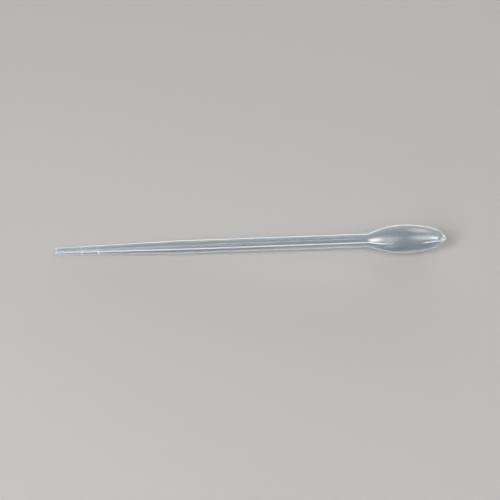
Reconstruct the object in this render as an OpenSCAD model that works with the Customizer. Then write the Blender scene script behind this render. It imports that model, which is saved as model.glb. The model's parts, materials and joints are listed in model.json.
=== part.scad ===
// Disposable plastic dropper, blown in one piece: a tapered tip, a straight stem and a closed squeeze bulb.
// It lies as it comes to rest, on its bulb and on the first ring near its tip, which points along -X.
// Lengths along the dropper are measured from the cut end of the tip.

/* [Tip] */
// Outer diameter at the cut end
tip_d = 3.1; // [2.6:0.1:4.2]
// Length of the taper from the cut end to the full stem
taper_l = 53.3; // [35:0.1:75]
// Rounding of the cut end's outer edge
tip_round = 0.25; // [0.1:0.05:0.4]

/* [Stem] */
// Outer diameter of the straight stem
stem_d = 5.9; // [4.8:0.1:7.2]
// Length of the straight stem, from the taper to the neck of the bulb
stem_l = 82.6; // [40:0.1:120]

/* [Bulb] */
// Diameter at the widest place
bulb_d = 12.7; // [10.5:0.1:15]
// Length from the neck to the widest place
shoulder_l = 15.7; // [12:0.1:22]
// Length from the widest place to the closed end, without the pinch tab
tail_l = 17.1; // [13:0.1:24]
// Radius of the closed end
tail_round = 4.1; // [3:0.1:4.8]
// Rounding of the inside corner where the stem meets the bulb
neck_round = 1; // [0.5:0.1:2]

/* [Wall] */
// Wall thickness of the tip, the stem and the bulb
wall = 0.45; // [0.3:0.05:0.6]
// Wall thickness at the closed end, where the tube was pinched shut
tail_wall = 0.9; // [0.6:0.05:1.4]

/* [Graduation rings] */
// Distance of the first ring from the cut end
first_ring_at = 11.4; // [6:0.1:14]
// Distance from the first ring to the second
ring_spacing = 7.3; // [4:0.1:16]
// Width of a ring where it leaves the wall
ring_w = 0.6; // [0.4:0.05:1]
// Height of a ring above the wall
ring_h = 0.12; // [0.06:0.02:0.2]
// Shift between the two halves of a ring, which two mould halves form
ring_step = 0.3; // [0:0.05:0.5]

/* [Parting lines] */
// Width of the raised line that the mould leaves along both sides
seam_w = 0.4; // [0.2:0.05:0.6]
// Height of that line above the wall
seam_h = 0.1; // [0.05:0.01:0.15]
// Angle of the near line above level, as the dropper lies
seam_rise = 40; // [20:1:60]

/* [Pinch tab] */
// Width of the tab at the closed end, across the parting lines
tab_w = 4; // [2.5:0.1:5]
// Thickness of the tab
tab_t = 1.1; // [0.6:0.05:1.6]
// Length of the tab beyond the closed end
tab_l = 0.9; // [0.5:0.1:2]
// Rounding of the tab's corners
tab_round = 0.5; // [0.2:0.05:0.8]
// Shift of the tab to one side of the parting lines
tab_shift = 0.5; // [0:0.05:0.7]

/* [Hidden] */
$fn = 96;
curve_error = 0.005;  // how far a straight run may leave a rounded outline
past = 1;             // how far a cut runs out of the solid

tip_r = tip_d / 2;
stem_r = stem_d / 2;
bulb_r = bulb_d / 2;
neck_z = taper_l + stem_l;
wide_z = neck_z + shoulder_l;
tail_z = wide_z + tail_l;
overall_l = tail_z + tab_l;

// The shoulder is an arc through the neck's edge, level at the widest place.
shoulder_rise = bulb_r - stem_r;
shoulder_r = (shoulder_l^2 + shoulder_rise^2) / (2 * shoulder_rise);

// The ring's crest is narrower than the ring where it leaves the wall.
ring_crest_w = ring_w / 2;
ring_places = [first_ring_at, first_ring_at + ring_spacing];

// The dropper leans on the floor at its bulb and at the first place that meets the floor nearer the tip.
lean = min(
    lean_from(tip_round, tip_r - tip_round, tip_round),
    min([for (at = ring_places) lean_from(ring_foot_z(at), taper_r(ring_foot_z(at)) + ring_h, 0)])
);
tip_height = (bulb_r - shoulder_r) * cos(lean) + shoulder_r - wide_z * sin(lean);

function taper_r(z) = tip_r + (stem_r - tip_r) * z / taper_l;

// Where the crest of a ring's lower half starts.
function ring_foot_z(at) = at + ring_step / 2 - ring_crest_w / 2;

// Slope of the line that touches the bulb's shoulder and an edge of radius round about [z, r].
function lean_from(z, r, round) =
    let (along = wide_z - z, across = r - bulb_r + shoulder_r)
    atan2(along, across) - acos((shoulder_r - round) / norm([along, across]));

function arc(centre, r, from, to) =
    let (steps = ceil(abs(to - from) / (2 * acos(1 - curve_error / r))))
    [for (i = [0 : steps]) let (a = from + (to - from) * i / steps) centre + r * [cos(a), sin(a)]];

// Outline of the bulb as [radius, height], from the neck to the closed end: the neck's rounding, the
// shoulder, the tail and the round end, each tangent to the next. grow moves it outwards, and
// end_inset draws the closed end back.
function bulb_outline(grow, end_inset) =
    let (
        end_r = tail_round + grow,
        end_z = tail_l - end_inset - tail_round,
        wide_r = bulb_r + grow,
        tail_r = (end_z^2 + wide_r^2 - end_r^2) / (2 * (wide_r - end_r)),
        reach = shoulder_r + neck_round,
        fillet_z = sqrt(shoulder_rise * (2 * reach - shoulder_rise)),
        neck_a = atan2(fillet_z, reach - shoulder_rise),
        end_a = asin(end_z / (tail_r - end_r))
    )
    concat(
        arc([stem_r + neck_round, wide_z - fillet_z], neck_round - grow, 180, 180 - neck_a),
        arc([bulb_r - shoulder_r, wide_z], shoulder_r + grow, -neck_a, 0),
        arc([wide_r - tail_r, wide_z], tail_r, 0, end_a),
        arc([0, wide_z + end_z], end_r, end_a, 90)
    );

// The dropper's whole outline as [radius, height], from the points that start it at the tip.
function outline(start, grow, end_inset = 0) =
    concat(start, [[stem_r + grow, taper_l]], bulb_outline(grow, end_inset));

module outside() {
    edge = arc([tip_r - tip_round, tip_round], tip_round, -90, 0);
    rotate_extrude() polygon(concat([[0, 0]], outline(edge, 0)));
}

module cavity() {
    mouth = [[tip_r - wall, -past], [tip_r - wall, 0]];
    rotate_extrude() polygon(concat([[0, -past]], outline(mouth, -wall, tail_wall - wall)));
}

// Two raised lines on opposite sides: the edges of a thin plate in the plane where the mould halves meet.
module parting_lines() {
    side = outline([[taper_r(tip_round) + seam_h, tip_round]], seam_h);
    rotate([90, 0, 0]) linear_extrude(seam_w, center = true) polygon(concat(
        side,
        [for (i = [len(side) - 1 : -1 : 0]) [-side[i][0], side[i][1]]]
    ));
}

// A raised ring in two halves. The half that meets the floor sits a little further from the tip.
module graduation_ring(at) {
    foot = ring_w / 2;
    crest = ring_crest_w / 2;
    for (side = [0, 1]) {
        z = at + (0.5 - side) * ring_step;
        rotate([0, 0, 180 * side]) rotate_extrude(angle = 180) polygon([
            [taper_r(z) - wall / 2, z - foot],
            [taper_r(z - foot), z - foot],
            [taper_r(z - crest) + ring_h, z - crest],
            [taper_r(z + crest) + ring_h, z + crest],
            [taper_r(z + foot), z + foot],
            [taper_r(z) - wall / 2, z + foot]
        ]);
    }
}

// The flat end left where the mould pinched the hot tube shut.
module pinch_tab() {
    side = tab_w / 2 - tab_round;
    top = overall_l - tab_round;
    root = tail_z - tail_wall;
    translate([0, tab_shift, 0]) rotate([90, 0, 0]) linear_extrude(tab_t, center = true) polygon(concat(
        [[-tab_w / 2, root], [tab_w / 2, root]],
        arc([side, top], tab_round, 0, 90),
        arc([-side, top], tab_round, 90, 180)
    ));
}

// Turns the upright dropper about its own axis, lays it along X and sets it down on the floor.
module lay_down() {
    translate([-overall_l * cos(lean) / 2, 0, tip_height])
        rotate([0, 90 - lean, 0])
        rotate([0, 0, -90 - seam_rise])
        children();
}

module dropper() {
    color([0.86, 0.89, 0.92, 0.7]) lay_down() difference() {
        union() {
            outside();
            parting_lines();
            for (at = ring_places) graduation_ring(at);
            pinch_tab();
        }
        cavity();
    }
}

dropper();
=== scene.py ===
import json
import math

import bpy
import numpy as np
from mathutils import Matrix, Vector, noise


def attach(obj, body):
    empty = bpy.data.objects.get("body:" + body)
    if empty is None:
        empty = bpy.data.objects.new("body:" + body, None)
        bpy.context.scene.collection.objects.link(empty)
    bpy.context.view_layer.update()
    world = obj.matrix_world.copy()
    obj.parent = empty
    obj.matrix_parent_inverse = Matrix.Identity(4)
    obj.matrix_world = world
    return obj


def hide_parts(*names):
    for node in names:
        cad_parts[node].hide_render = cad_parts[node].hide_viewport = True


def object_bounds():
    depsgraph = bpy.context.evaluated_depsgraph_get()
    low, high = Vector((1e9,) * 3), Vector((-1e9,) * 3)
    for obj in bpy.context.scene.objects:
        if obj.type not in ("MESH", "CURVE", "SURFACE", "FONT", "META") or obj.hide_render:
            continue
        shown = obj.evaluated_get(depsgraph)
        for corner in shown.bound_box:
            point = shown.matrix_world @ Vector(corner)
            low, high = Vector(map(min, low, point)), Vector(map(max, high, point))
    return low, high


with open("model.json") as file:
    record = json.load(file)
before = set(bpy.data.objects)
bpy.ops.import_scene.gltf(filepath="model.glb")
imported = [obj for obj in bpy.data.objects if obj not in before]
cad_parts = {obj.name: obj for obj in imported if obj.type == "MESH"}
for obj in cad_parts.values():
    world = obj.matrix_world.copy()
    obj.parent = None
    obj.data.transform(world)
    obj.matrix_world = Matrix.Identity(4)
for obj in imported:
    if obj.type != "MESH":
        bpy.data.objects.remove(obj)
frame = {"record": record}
cadLow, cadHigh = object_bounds()
mm = 0.001
print("CAD frame loaded, box", [round(v / mm, 2) for v in cadHigh - cadLow], "mm")


# A socket in a node tree: + - * on it add Math nodes, and add() makes any other node.
class Wire:
    def __init__(self, tree, socket=None):
        self.tree = tree
        self.socket = socket

    def add(self, kind, settings={}, values={}, out=0):
        made = self.tree.nodes.new(kind)
        for name, value in settings.items():
            setattr(made, name, value)
        for name, value in values.items():
            if isinstance(value, Wire):
                self.tree.links.new(value.socket, made.inputs[name])
            else:
                made.inputs[name].default_value = value
        return Wire(self.tree, made.outputs[out] if made.outputs else None)

    def math(self, operation, first, second):
        return self.add("ShaderNodeMath", {"operation": operation}, {0: first, 1: second})

    def __add__(self, other):
        return self.math("ADD", self, other)

    def __radd__(self, other):
        return self.math("ADD", other, self)

    def __sub__(self, other):
        return self.math("SUBTRACT", self, other)

    def __rsub__(self, other):
        return self.math("SUBTRACT", other, self)

    def __mul__(self, other):
        return self.math("MULTIPLY", self, other)

    def __rmul__(self, other):
        return self.math("MULTIPLY", other, self)

    def magnitude(self):
        return self.math("ABSOLUTE", self, 0)


def ramp(value, low, high):  # 0 below low, 1 above high, smooth between
    return value.add("ShaderNodeMapRange", {"interpolation_type": "SMOOTHSTEP"}, {
        "Value": value,
        "From Min": low,
        "From Max": high,
    })


def newMaterial(name):
    material = bpy.data.materials.new(name)
    material.use_nodes = True
    material.node_tree.nodes.clear()
    return material, Wire(material.node_tree)


def finishMaterial(wire, surface):
    wire.add("ShaderNodeOutputMaterial", {}, {"Surface": surface})


# The stem's mount says where the dropper lies and which way it points.
stemMount = frame["record"]["mounts"][0]
stemRadius = stemMount["dims"]["r_mm"]
stemLength = stemMount["dims"]["length_mm"]
stemCentre = Vector(stemMount["pos_m"])
alongAxis = -Vector(stemMount["axis"]).normalized()  # from the tip to the bulb
upAxis = Vector((-alongAxis.z, 0, alongAxis.x))
sideAxis = Vector((0, -1, 0))  # towards the near side

dropperSize = {              # millimetres
    "tipDiameter": 3.1,
    "taperLength": 53.3,
    "tipRounding": 0.25,
    "neckRounding": 1.0,
    "shoulderLength": 15.7,  # from the neck to the bulb's widest place
    "bulbDiameter": 12.66,
    "tailLength": 17.1,      # from the widest place to the closed end, without the pinch tab
    "tailRounding": 4.1,
    "endGap": 0.02,          # keeps the pinch tab inside the CAD box
    "wall": 0.45,
    "tailWall": 0.9,
    "seamRise": 40,          # degrees above level, of the near parting line
}

# distances along the dropper, in millimetres from its cut tip
tubeLength = dropperSize["taperLength"] + stemLength
widestAt = tubeLength + dropperSize["shoulderLength"]
tailEnd = widestAt + dropperSize["tailLength"]
tipPoint = stemCentre - alongAxis * (dropperSize["taperLength"] + stemLength / 2) * mm
overallLength = (cadHigh.x - tipPoint.x) / alongAxis.x / mm - dropperSize["endGap"]

rise = math.radians(dropperSize["seamRise"])
seamAxis = sideAxis * math.cos(rise) + upAxis * math.sin(rise)   # towards the near parting line
crossAxis = sideAxis * math.sin(rise) - upAxis * math.cos(rise)  # square to the parting plane

fineness = {                        # of the mesh, in millimetres and degrees
    "tipEdge": 6,                   # rows on the rounded edge of the cut tip
    "outside": (9, 46, 46, 26),     # rows on the neck, the shoulder, the tail and the round end
    "inside": (7, 34, 34, 16),
    "outsideStart": 1,              # first row of the tip and the stem
    "outsideSpacing": 1.4,
    "insideMouth": (0, 0.5),        # first rows of the inside
    "insideStart": 2,
    "insideSpacing": 2.2,
    "neckGap": 1,                   # left free before the neck's own rows
    "ringReach": 0.8,               # rows start this far before a ring mark
    "ringSpacing": 0.07,
    "ringRows": 23,
    "poleGap": 6,                   # from the pole of the bulb's end, where its own rows stop
    "tabRows": 16,
    "tabSpread": (5, 89),           # their sines space those rows, closer towards the tab's end
    "columnSpacing": 3.75,
    "seamColumns": (0.5, 1, 1.5, 2, 3, 4, 5.5, 7),  # more columns, this far from a parting line
}


# Outlines are rows of [distance from the tip, radius].
def arcRows(centre, radius, fromAngle, toAngle, count):
    angles = np.radians(np.linspace(fromAngle, toAngle, count))
    distances = centre[0] + radius * np.cos(angles)
    return np.column_stack([distances, centre[1] + radius * np.sin(angles)])


def bulbRows(grow, endInset, counts):
    neckRise = dropperSize["bulbDiameter"] / 2 - stemRadius
    shoulderRadius = (dropperSize["shoulderLength"] ** 2 + neckRise ** 2) / (2 * neckRise)
    reach = shoulderRadius + dropperSize["neckRounding"]
    filletBack = math.sqrt(neckRise * (2 * reach - neckRise))
    neckAngle = math.degrees(math.atan2(filletBack, reach - neckRise))
    widest = dropperSize["bulbDiameter"] / 2 + grow
    endRadius = dropperSize["tailRounding"] + grow
    endAt = dropperSize["tailLength"] - endInset - dropperSize["tailRounding"]
    tailRadius = (endAt ** 2 + widest ** 2 - endRadius ** 2) / (2 * (widest - endRadius))
    endAngle = 90 - math.degrees(math.asin(endAt / (tailRadius - endRadius)))
    neckCentre = (widestAt - filletBack, stemRadius + dropperSize["neckRounding"])
    shoulderCentre = (widestAt, dropperSize["bulbDiameter"] / 2 - shoulderRadius)
    neck = arcRows(neckCentre, dropperSize["neckRounding"] - grow, 270, 270 + neckAngle, counts[0])
    shoulder = arcRows(shoulderCentre, shoulderRadius + grow, 90 + neckAngle, 90, counts[1])
    tail = arcRows((widestAt, widest - tailRadius), tailRadius, 90, endAngle, counts[2])
    end = arcRows((widestAt + endAt, 0), endRadius, endAngle, fineness["poleGap"], counts[3])
    return np.vstack([neck, shoulder[1:], tail[1:], end[1:]])


def tubeRows(distances, grow):
    ends = [0, dropperSize["taperLength"], tubeLength]
    radii = [dropperSize["tipDiameter"] / 2 + grow, stemRadius + grow, stemRadius + grow]
    return np.column_stack([distances, np.interp(distances, ends, radii)])


ringMarks = {
    "places": [11.4, 18.7],
    "width": 0.5,
    "height": 0.1,
    "flatness": 4,          # of the crest: a higher one also makes its sides steeper
    "step": 0.3,            # between the halves that the two mould halves form
}
partingLine = {
    "halfWidth": 0.17,
    "height": 0.09,
    "onBelly": 0.25,        # share of the height that is left on the bulb's belly
    "sinkStart": 6,         # past the neck
    "sinkEnd": 2,           # before the widest place
    "riseStart": 5,         # past the widest place
    "riseEnd": 9,
}
pinchTab = {
    "halfWidth": 2.1,
    "halfThickness": 1.3,
    "squareness": 2.6,      # of its cross-section: 2 is an oval
    "endSize": 0.57,        # share of that width and thickness at the very end
    "widening": 0.48,       # growth of that share for each millimetre back from the end
    "rootSize": 1.15,       # the share where the tab grows out of the bulb
    "cornerRounding": 0.4,
    "coreRadius": 0.05,     # of the rows that carry the tab beyond the round end
    "shift": 0.33,
    "shiftStart": 2.5,      # before the closed end
    "start": 3,             # before the closed end
    "blend": 0.8,           # rounding between the tab and the bulb
    "blendLength": 1,       # from the tab's end, over which that rounding comes in
    "leastBlend": 0.01,
}
centreDrift = {             # the bulb's end hangs a little to one side of the parting plane
    "start": 2,             # before the widest place
    "tail": 0.12,
}
mouldWobble = {             # waviness of the wall, as blowing leaves it
    "stem": 0.012,
    "bulb": 0.03,
    "growsAt": (3.2, 5.5),  # radii between which the stem's goes over into the bulb's
    "alongScale": 0.11,
    "roundScale": 0.3,
    "inside": 3.5,          # size of its own waves, times the outside's
    "insidePlace": 40,      # keeps the inside's waves apart from the outside's
}


def smoothStep(x, low, high):
    t = np.clip((x - low) / (high - low), 0, 1)
    return t * t * (3 - 2 * t)


def smoothMax(a, b, blend):
    near = np.clip(blend - np.abs(a - b), 0, None) / blend
    return np.maximum(a, b) + near * near * blend / 4


def seamHeight(distance, radius, angle):
    gap = np.abs(np.sin(angle)) * radius / partingLine["halfWidth"]
    sinkStart, sinkEnd = tubeLength + partingLine["sinkStart"], widestAt - partingLine["sinkEnd"]
    riseStart, riseEnd = widestAt + partingLine["riseStart"], widestAt + partingLine["riseEnd"]
    sinks = smoothStep(distance, sinkStart, sinkEnd)
    onBelly = sinks * (1 - smoothStep(distance, riseStart, riseEnd))
    strength = 1 - (1 - partingLine["onBelly"]) * onBelly
    return partingLine["height"] * strength * np.exp(-gap * gap)


def ringHeight(distance, angle):
    total = 0
    for place in ringMarks["places"]:
        at = place + ringMarks["step"] * np.where(np.sin(angle) > 0, 0.5, -0.5)
        gap = (distance - at) / (ringMarks["width"] / 2)
        total = total + ringMarks["height"] * np.exp(-gap ** ringMarks["flatness"])
    return total


def tabRadius(distance, angle):
    back = np.clip(overallLength - distance, 0, None)
    corner = np.clip(back / pinchTab["cornerRounding"], 0, 1)
    share = np.minimum(pinchTab["endSize"] + pinchTab["widening"] * back, pinchTab["rootSize"])
    power = pinchTab["squareness"]
    across = np.abs(np.cos(angle)) / pinchTab["halfWidth"]
    through = np.abs(np.sin(angle)) / pinchTab["halfThickness"]
    section = (across ** power + through ** power) ** (-1 / power)
    return np.sqrt(1 - (1 - corner) ** 2) * share * section


def wobble(distance, radius, angle, place):
    growth = smoothStep(radius, *mouldWobble["growsAt"])
    size = mouldWobble["stem"] + (mouldWobble["bulb"] - mouldWobble["stem"]) * growth
    spots = np.column_stack([
        distance * mouldWobble["alongScale"],
        np.cos(angle) * radius * mouldWobble["roundScale"] + place,
        np.sin(angle) * radius * mouldWobble["roundScale"],
    ])
    return size * np.array([noise.noise(Vector(s)) for s in spots])


def centreShift(distance):
    tail = smoothStep(distance, widestAt - centreDrift["start"], tailEnd)
    tab = smoothStep(distance, tailEnd - pinchTab["shiftStart"], tailEnd)
    return centreDrift["tail"] * tail + (pinchTab["shift"] - centreDrift["tail"]) * tab


def ringAngles():
    coarse = np.arange(0, 360, fineness["columnSpacing"])
    fine = np.array(fineness["seamColumns"])
    return np.radians(np.unique(np.concatenate([coarse, fine, 180 - fine, 180 + fine, 360 - fine])))


def placeRows(rows, angles, outside):
    distance = np.repeat(rows[:, 0], len(angles))
    radius = np.repeat(rows[:, 1], len(angles))
    angle = np.tile(angles, len(rows))
    full = radius + wobble(distance, radius, angle, 0)
    if outside:
        full = full + seamHeight(distance, radius, angle) + ringHeight(distance, angle)
        comesIn = smoothStep(overallLength - distance, 0, pinchTab["blendLength"])
        blend = pinchTab["blend"] * comesIn + pinchTab["leastBlend"]
        withTab = smoothMax(full, tabRadius(distance, angle), blend)
        full = np.where(distance > tailEnd - pinchTab["start"], withTab, full)
    else:
        own = wobble(distance, radius, angle, mouldWobble["insidePlace"])
        full = full + own * mouldWobble["inside"]
    alongSeam = full * np.cos(angle)
    acrossSeam = full * np.sin(angle) + centreShift(distance)
    return (
        np.array(tipPoint)
        + np.outer(distance * mm, alongAxis)
        + np.outer(alongSeam * mm, seamAxis)
        + np.outer(acrossSeam * mm, crossAxis)
    )


def outsideRows():
    rounding = dropperSize["tipRounding"]
    tipRadius = dropperSize["tipDiameter"] / 2
    edge = arcRows((rounding, tipRadius - rounding), rounding, 180, 90, fineness["tipEdge"])
    tubeEnd = tubeLength - fineness["neckGap"]
    tube = np.arange(fineness["outsideStart"], tubeEnd, fineness["outsideSpacing"])
    offsets = np.arange(fineness["ringRows"]) * fineness["ringSpacing"] - fineness["ringReach"]
    nearRings = [place + offsets for place in ringMarks["places"]]
    distances = np.unique(np.round(np.concatenate([tube, *nearRings]), 4))
    bulb = bulbRows(0, 0, fineness["outside"])
    start = bulb[-1, 0]
    spread = np.sin(np.radians(np.linspace(*fineness["tabSpread"], fineness["tabRows"])))
    past = start + (overallLength - start) * spread
    core = np.column_stack([past, np.full(len(past), pinchTab["coreRadius"])])
    return np.vstack([edge, tubeRows(distances, 0), bulb, core])


def insideRows():
    grow = -dropperSize["wall"]
    tubeEnd = tubeLength - fineness["neckGap"]
    tube = np.arange(fineness["insideStart"], tubeEnd, fineness["insideSpacing"])
    distances = np.concatenate([fineness["insideMouth"], tube])
    endInset = dropperSize["tailWall"] - dropperSize["wall"]
    return np.vstack([tubeRows(distances, grow), bulbRows(grow, endInset, fineness["inside"])])


def gridFaces(start, rowCount, across, flip):
    faces = []
    for row in range(rowCount - 1):
        for column in range(across):
            nextColumn = (column + 1) % across
            a = start + row * across + column
            b = start + row * across + nextColumn
            quad = (a, b, b + across, a + across)
            faces.append(quad[::-1] if flip else quad)
    return faces


def capFaces(start, across, centre, flip):
    faces = []
    for column in range(across):
        edge = (start + column, start + (column + 1) % across, centre)
        faces.append(edge[::-1] if flip else edge)
    return faces


# One closed mesh: the outside with its tab, the cut face of the tip, and the inside.
def buildDropper():
    angles = ringAngles()
    across = len(angles)
    outer, inner = outsideRows(), insideRows()
    outerPoints = placeRows(outer, angles, True)
    innerPoints = placeRows(inner, angles, False)
    tabCentre = outerPoints[-across:].mean(axis=0)
    endBulge = 0.01 * mm
    endCentre = innerPoints[-across:].mean(axis=0) + np.array(alongAxis) * endBulge
    points = np.vstack([outerPoints, innerPoints, [tabCentre], [endCentre]])
    innerStart = len(outer) * across
    tabIndex = innerStart + len(inner) * across
    faces = gridFaces(0, len(outer), across, False)
    faces += gridFaces(innerStart, len(inner), across, True)
    faces += capFaces(innerStart - across, across, tabIndex, False)
    faces += capFaces(tabIndex - across, across, tabIndex + 1, True)
    for column in range(across):  # the cut face of the tip
        nextColumn = (column + 1) % across
        faces.append((nextColumn, column, innerStart + column, innerStart + nextColumn))
    mesh = bpy.data.meshes.new("dropper_wall")
    mesh.from_pydata(points.tolist(), [], faces)
    mesh.polygons.foreach_set("use_smooth", [True] * len(faces))
    mesh.validate()
    mesh.update()
    piece = bpy.data.objects.new("dropper_wall", mesh)
    bpy.context.scene.collection.objects.link(piece)
    print("dropper built:", len(points), "points,", len(faces), "faces")
    return piece


# Natural polyethylene is clear enough to show the far wall, with a faint bluish haze in it. It
# turns milky where more of it lies one behind the other, and on the parting lines and the rings.
polyethylene = {
    "tint": (0.79, 0.825, 0.85, 1),  # of the clear wall
    "haze": (0.66, 0.79, 0.93, 1),
    "milk": (0.87, 0.885, 0.9, 1),
    "cream": (0.93, 0.90, 0.84, 1),  # at both ends
    "creamShare": 0.9,
    "shade": (0.95, 0.97, 1.0, 1),   # of the light that goes through to the floor
    "lampsPass": 0.6,                # share of that light
    "ior": 1.51,
    "roughness": 0.06,               # the streaks and clouds add to it
    "hazeRoughness": 0.1,            # added to the haze's
    "hazeAmount": 0.04,
    "evenShare": 0.2,                # of the haze: the rest lies in streaks and clouds
    "tipHaze": 0.02,
    "tipReach": 40,                  # from the cut tip
}
streakLook = {
    "scale": (0.03, 2.2, 2.2),       # along the dropper, and across it both ways
    "detail": 4.0,
    "share": 0.9,
    "roughness": 0.05,
    "bump": 0.06,
    "depth": 0.04,
}
cloudLook = {"scale": (0.12, 0.35, 0.35), "detail": 2.0, "share": 0.7, "roughness": 0.06}
edgeLook = {
    "haze": 0.88,
    "start": 0.28,                   # 0 faces the viewer and 1 is seen edge-on
    "full": 0.85,
    "bulbStart": 0.12,               # added to the start on the bulb
    "bulbHaze": 0.1,                 # taken off the haze on the bulb
    "bulbReach": 8,                  # past the neck
}
seamLook = {
    "haze": 0.55,                    # of the near line
    "farHaze": 0.38,
    "farBlend": 0.3,
    "edge": (0.1, 0.4),              # from the line's middle, between which it fades
    "fades": (6, 10),                # past the neck
    "returns": (6.5, 9.5),           # past the widest place
    "lostOnBelly": 0.97,
    "tipShare": 0.65,                # of the haze, left at the cut tip
    "tipFade": (4, 24),              # from the cut tip
}
ringLook = {
    "haze": 0.5,
    "edge": (0.12, 0.34),            # from the ring's middle
    "upperShare": 0.35,              # on the half above the parting plane
    "halfBlend": 0.02,
}
endLook = {
    "haze": 0.5,
    "tabStart": 1.5,                 # before the closed end
    "tabFull": 0.2,                  # past it
    "tipShare": 0.4,                 # at the cut tip
    "tipReach": 0.7,
}


def makePolyethylene():
    material, wire = newMaterial("natural_polyethylene")
    objectPlace = wire.add("ShaderNodeTexCoord", out="Object")

    def distanceAlong(axis):
        sockets = {0: objectPlace, 1: axis}
        reach = wire.add("ShaderNodeVectorMath", {"operation": "DOT_PRODUCT"}, sockets, out="Value")
        return (reach - tipPoint.dot(axis)) * (1 / mm)

    def noiseOf(look):
        sockets = {0: place, 1: look["scale"]}
        stretched = wire.add("ShaderNodeVectorMath", {"operation": "MULTIPLY"}, sockets)
        return wire.add("ShaderNodeTexNoise", {}, {
            "Vector": stretched,
            "Scale": 1.0,
            "Detail": look["detail"],
        })

    def blendColour(factor, first, second):
        sockets = {"Factor": factor, "A": first, "B": second}
        return wire.add("ShaderNodeMix", {"data_type": "RGBA"}, sockets, out="Result")

    along = distanceAlong(alongAxis)
    toSeam = distanceAlong(seamAxis)
    across = distanceAlong(crossAxis)
    place = wire.add("ShaderNodeCombineXYZ", {}, {"X": along, "Y": toSeam, "Z": across})
    streak = noiseOf(streakLook)
    cloud = noiseOf(cloudLook)

    drift = ramp(along, widestAt - centreDrift["start"], tailEnd) * centreDrift["tail"]
    line = 1 - ramp((across - drift).magnitude(), *seamLook["edge"])
    fadeStart, fadeEnd = seamLook["fades"]
    returnStart, returnEnd = seamLook["returns"]
    fades = ramp(along, tubeLength + fadeStart, tubeLength + fadeEnd)
    onBelly = fades * (1 - ramp(along, widestAt + returnStart, widestAt + returnEnd))
    tipFade = ramp(along, *seamLook["tipFade"]) * (1 - seamLook["tipShare"]) + seamLook["tipShare"]
    seam = line * (1 - onBelly * seamLook["lostOnBelly"]) * tipFade
    nearSide = ramp(toSeam, -seamLook["farBlend"], seamLook["farBlend"])
    seamHaze = nearSide * (seamLook["haze"] - seamLook["farHaze"]) + seamLook["farHaze"]

    lowerHalf = ramp(across, -ringLook["halfBlend"], ringLook["halfBlend"])
    rings = 0
    for ringPlace in ringMarks["places"]:
        upperPlace = ringPlace - ringMarks["step"] / 2
        fromRing = (along - upperPlace - lowerHalf * ringMarks["step"]).magnitude()
        rings = (1 - ramp(fromRing, *ringLook["edge"])) + rings
    ringShare = lowerHalf * (1 - ringLook["upperShare"]) + ringLook["upperShare"]

    tabEnd = ramp(along, tailEnd - endLook["tabStart"], tailEnd + endLook["tabFull"])
    end = tabEnd + (1 - ramp(along, 0, endLook["tipReach"])) * endLook["tipShare"]

    facing = wire.add("ShaderNodeLayerWeight", {}, {"Blend": 0.5}, out="Facing")
    onBulb = ramp(along, tubeLength, tubeLength + edgeLook["bulbReach"])
    edge = ramp(facing, onBulb * edgeLook["bulbStart"] + edgeLook["start"], edgeLook["full"])

    uneven = streak * streakLook["share"] + cloud * cloudLook["share"] + polyethylene["evenShare"]
    milkiness = (
        uneven * polyethylene["hazeAmount"]
        + edge * (edgeLook["haze"] - onBulb * edgeLook["bulbHaze"])
        + seam * seamHaze
        + (1 - ramp(along, 0, polyethylene["tipReach"])) * polyethylene["tipHaze"]
        + rings * ringShare * ringLook["haze"]
        + end * endLook["haze"]
    )

    unevenSheen = streak * streakLook["roughness"] + cloud * cloudLook["roughness"]
    roughness = unevenSheen + polyethylene["roughness"]
    bump = wire.add("ShaderNodeBump", {}, {
        "Height": streak,
        "Strength": streakLook["bump"],
        "Distance": streakLook["depth"] * mm,
    })
    clear = wire.add("ShaderNodeBsdfPrincipled", {}, {
        "Base Color": polyethylene["tint"],
        "Roughness": roughness,
        "IOR": polyethylene["ior"],
        "Transmission Weight": 1.0,
        "Normal": bump,
    })
    thick = blendColour(edge + seam + rings, polyethylene["haze"], polyethylene["milk"])
    milky = wire.add("ShaderNodeBsdfPrincipled", {}, {
        "Base Color": blendColour(end * polyethylene["creamShare"], thick, polyethylene["cream"]),
        "Roughness": roughness + polyethylene["hazeRoughness"],
        "IOR": polyethylene["ior"],
        "Normal": bump,
    })
    body = wire.add("ShaderNodeMixShader", {}, {0: milkiness, 1: clear, 2: milky})
    passed = wire.add("ShaderNodeBsdfTransparent", {}, {"Color": polyethylene["shade"]})
    towardsLamp = wire.add("ShaderNodeLightPath", out="Is Shadow Ray") * polyethylene["lampsPass"]
    finishMaterial(wire, wire.add("ShaderNodeMixShader", {}, {0: towardsLamp, 1: body, 2: passed}))
    return material


studio = {  # metres and degrees
    "floorColour": (0.44, 0.445, 0.453, 1),
    "floorRoughness": 0.9,
    "floorSpecular": 0.2,
    "floorSize": 2.4,
    "grainScale": 900.0,
    "grainDetail": 3.0,
    "grainBump": 0.05,
    "grainDepth": 0.0003,
    "fadeFrom": 0.2,         # from the middle, where the floor starts to fade into the backdrop
    "fadeTo": 0.7,
    "backdrop": (0.49, 0.485, 0.475, 1),
    "worldColour": (0.85, 0.93, 1.0, 1),
    "worldStrength": 0.10,
    "lens": 200,             # millimetres, as the sensor is
    "sensor": 36,
    "clip": (0.05, 20),
    "elevation": 60,
    "azimuth": -1.354,
    "frameWidth": 0.2168,
    "aimRight": -0.0003,
    "aimUp": -0.0034,
    "nestGap": 0.002,        # between the nested sizes of a lamp
}

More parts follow.
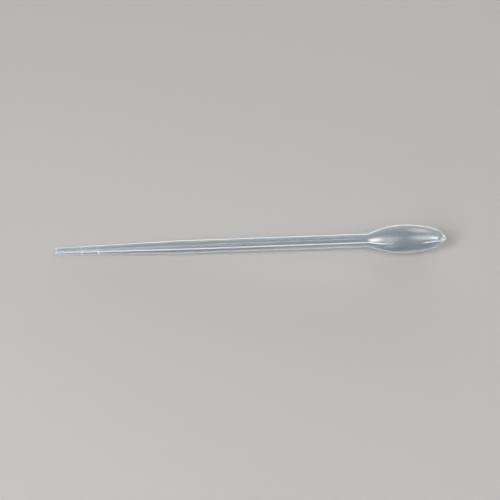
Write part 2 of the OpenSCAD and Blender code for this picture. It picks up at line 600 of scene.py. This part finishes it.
# name: direction the lamp shines from, distance, size round the dropper and along it, brightness,
# number of nested sizes, colour
lamps = {
    "leftWide": ((-0.40, -0.34, 0.85), 0.9, 0.80, 0.84, 3.05, 5, (1.0, 0.975, 0.95)),
    "rightWide": ((0.47, -0.316, 0.824), 0.9, 0.62, 0.74, 4.25, 5, (1.0, 0.975, 0.95)),
    "topBack": ((0.36, 0.61, 0.70), 0.9, 0.85, 0.42, 3.6, 5, (1.0, 0.98, 0.96)),
    "nearLow": ((-0.26, -0.875, 0.408), 0.9, 0.95, 0.30, 2.7, 4, (1.0, 0.99, 0.97)),
    "leftHot": ((-0.62, -0.37, 0.69), 0.85, 0.80, 0.40, 11.5, 5, (1.0, 0.935, 0.84)),
    "rightHot": ((0.68, -0.31, 0.665), 0.85, 0.60, 0.26, 6.5, 5, (1.0, 0.91, 0.78)),
    "back": ((0, 0.996, 0.086), 2.7, 0.44, 7.0, 12.0, 1, (1.0, 1.0, 1.0)),
}


def looksThere(wire):  # 1 for a ray from the camera: straight, mirrored or through the plastic
    return (
        wire.add("ShaderNodeLightPath", out="Is Camera Ray")
        + wire.add("ShaderNodeLightPath", out="Is Glossy Ray")
        + wire.add("ShaderNodeLightPath", out="Is Transmission Ray")
    )


def makeFloor():
    half = studio["floorSize"] / 2
    corners = [(-half, -half, 0), (half, -half, 0), (half, half, 0), (-half, half, 0)]
    mesh = bpy.data.meshes.new("floor")
    mesh.from_pydata(corners, [], [(0, 1, 2, 3)])
    floor = bpy.data.objects.new("floor", mesh)
    bpy.context.scene.collection.objects.link(floor)
    material, wire = newMaterial("floor_paper")
    place = wire.add("ShaderNodeTexCoord", out="Object")
    grain = wire.add("ShaderNodeTexNoise", {}, {
        "Vector": place,
        "Scale": studio["grainScale"],
        "Detail": studio["grainDetail"],
    })
    bump = wire.add("ShaderNodeBump", {}, {
        "Height": grain,
        "Strength": studio["grainBump"],
        "Distance": studio["grainDepth"],
    })
    paper = wire.add("ShaderNodeBsdfPrincipled", {}, {
        "Base Color": studio["floorColour"],
        "Roughness": studio["floorRoughness"],
        "Specular IOR Level": studio["floorSpecular"],
        "Normal": bump,
    })
    far = wire.add("ShaderNodeVectorMath", {"operation": "LENGTH"}, {0: place}, out="Value")
    faded = ramp(far, studio["fadeFrom"], studio["fadeTo"]) * looksThere(wire)
    seen = wire.add("ShaderNodeEmission", {}, {"Color": studio["backdrop"], "Strength": 1.0})
    finishMaterial(wire, wire.add("ShaderNodeMixShader", {}, {0: faded, 1: paper, 2: seen}))
    mesh.materials.append(material)


def makeWorld():
    world = bpy.data.worlds.new("studio")
    bpy.context.scene.world = world
    world.use_nodes = True
    world.node_tree.nodes.clear()
    wire = Wire(world.node_tree)
    glow = wire.add("ShaderNodeBackground", {}, {
        "Color": studio["worldColour"],
        "Strength": studio["worldStrength"],
    })
    seen = wire.add("ShaderNodeBackground", {}, {"Color": studio["backdrop"], "Strength": 1.0})
    shown = wire.add("ShaderNodeMixShader", {}, {0: looksThere(wire), 1: glow, 2: seen})
    wire.add("ShaderNodeOutputWorld", {}, {"Surface": shown})


def makeLamps(target):
    for name, (direction, distance, wide, long, brightness, count, colour) in lamps.items():
        back = Vector(direction).normalized()
        across = back.cross(Vector((1, 0, 0))).normalized()
        turn = Matrix((across, back.cross(across), back)).transposed().to_quaternion()
        for step in range(count):  # nested sizes soften the lamp's edge where it is mirrored
            size = 1 - step / count
            data = bpy.data.lights.new(name, "AREA")
            data.shape = "ELLIPSE" if count > 1 else "RECTANGLE"
            data.size, data.size_y = wide * size, long * size
            area = data.size * data.size_y * (math.pi / 4 if count > 1 else 1)
            data.energy = brightness / count * math.pi * area
            data.color = colour
            lamp = bpy.data.objects.new(name, data)
            lamp.location = target + back * (distance + step * studio["nestGap"])
            lamp.rotation_mode = "QUATERNION"
            lamp.rotation_quaternion = turn
            lamp.visible_camera = False
            mirrored = name != "back"  # that one gives light and is never seen
            lamp.visible_glossy = lamp.visible_transmission = mirrored
            bpy.context.scene.collection.objects.link(lamp)


def directionOf(azimuth, elevation):
    a, e = math.radians(azimuth), math.radians(elevation)
    return Vector((math.sin(a) * math.cos(e), -math.cos(a) * math.cos(e), math.sin(e)))


def makeCamera(target):
    data = bpy.data.cameras.new("camera")
    data.lens, data.sensor_width = studio["lens"], studio["sensor"]
    data.clip_start, data.clip_end = studio["clip"]
    camera = bpy.data.objects.new("camera", data)
    bpy.context.scene.collection.objects.link(camera)
    back = directionOf(studio["azimuth"], studio["elevation"])
    turn = (-back).to_track_quat("-Z", "Y")
    right, up = turn @ Vector((1, 0, 0)), turn @ Vector((0, 1, 0))
    distance = studio["frameWidth"] * data.lens / data.sensor_width
    camera.location = target + right * studio["aimRight"] + up * studio["aimUp"] + back * distance
    camera.rotation_mode = "QUATERNION"
    camera.rotation_quaternion = turn
    bpy.context.scene.camera = camera


middle = (cadLow + cadHigh) / 2
bpy.context.scene.view_settings.view_transform = "Standard"
makeFloor()
makeWorld()
makeLamps(middle)
makeCamera(middle)
print("studio ready")

dropper = buildDropper()
dropper.data.materials.append(makePolyethylene())
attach(dropper, "root")
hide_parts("dropper")
print("polyethylene applied")

bpy.context.view_layer.update()
